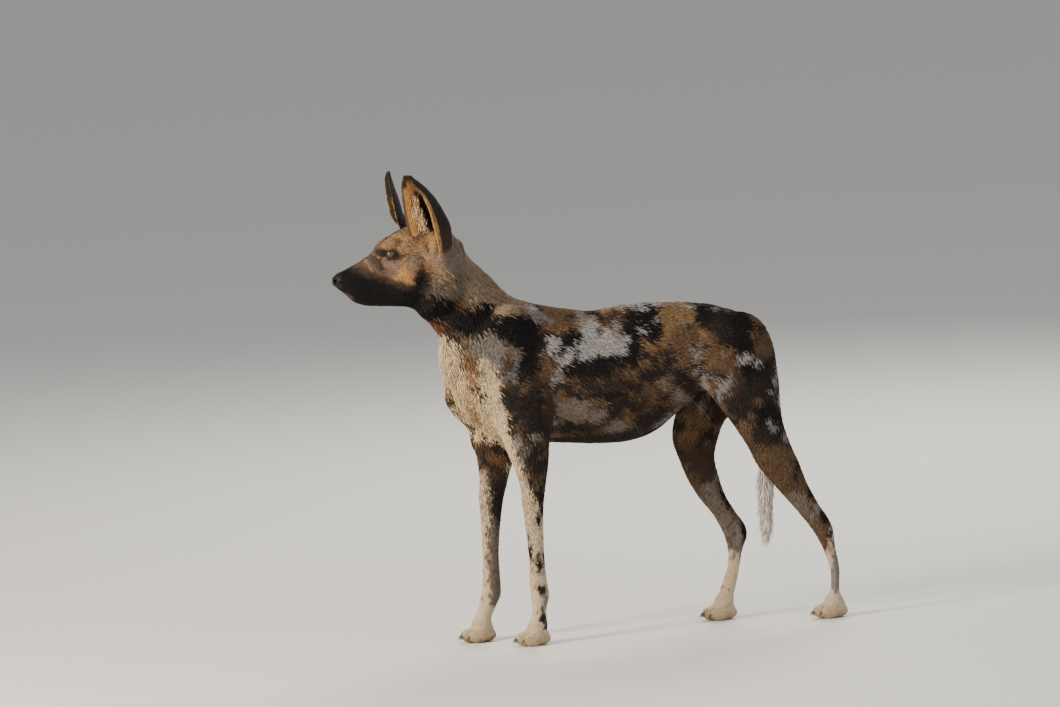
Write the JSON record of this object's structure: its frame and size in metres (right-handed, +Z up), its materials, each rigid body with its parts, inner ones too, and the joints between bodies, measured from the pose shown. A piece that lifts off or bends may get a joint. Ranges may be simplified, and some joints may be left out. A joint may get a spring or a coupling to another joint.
{
  "type": "african wild dog model",
  "caption": "Life-size African wild dog standing alert on long thin legs, with large upright rounded ears, a lean mottled body and a hanging white-tipped tail.",
  "frame": {"origin": "middle of the bounding box in plan, on the floor under the paws", "axes": "the nose points to -X, the dog's left side to -Y, and +Z is up"},
  "size_m": [1.0222, 0.2022, 0.9779],
  "materials": {
    "coat_trunk": "short fur, mottled tan, black and white",
    "coat_neck": "longer grey-fawn fur, black at the throat",
    "coat_head": "short tan fur with a black muzzle and cheeks",
    "coat_ear": "short dark fur, golden inside",
    "coat_leg": "short fur, mottled above and pale with black spots below",
    "coat_tail": "long white brush",
    "eye": "wet dark brown",
    "claw": "dull dark horn"
  },
  "bodies": {
    "root": {"head": "coat_head", "neck": "coat_neck", "trunk": "coat_trunk", "tail_base": "coat_trunk", "tail_brush": "coat_tail", "ear_left": "coat_ear", "eye_left": "eye", "ear_right": "coat_ear", "eye_right": "eye", "leg_front_left_upper": "coat_leg", "leg_front_left_lower": "coat_leg", "leg_front_left_foot": "coat_leg", "claw_front_left_1": "claw", "claw_front_left_2": "claw", "claw_front_left_3": "claw", "claw_front_left_4": "claw", "leg_front_right_upper": "coat_leg", "leg_front_right_lower": "coat_leg", "leg_front_right_foot": "coat_leg", "claw_front_right_1": "claw", "claw_front_right_2": "claw", "claw_front_right_3": "claw", "claw_front_right_4": "claw", "leg_hind_left_upper": "coat_leg", "leg_hind_left_lower": "coat_leg", "leg_hind_left_foot": "coat_leg", "claw_hind_left_1": "claw", "claw_hind_left_2": "claw", "claw_hind_left_3": "claw", "claw_hind_left_4": "claw", "leg_hind_right_upper": "coat_leg", "leg_hind_right_lower": "coat_leg", "leg_hind_right_foot": "coat_leg", "claw_hind_right_1": "claw", "claw_hind_right_2": "claw", "claw_hind_right_3": "claw", "claw_hind_right_4": "claw"}
  },
  "joints": []
}
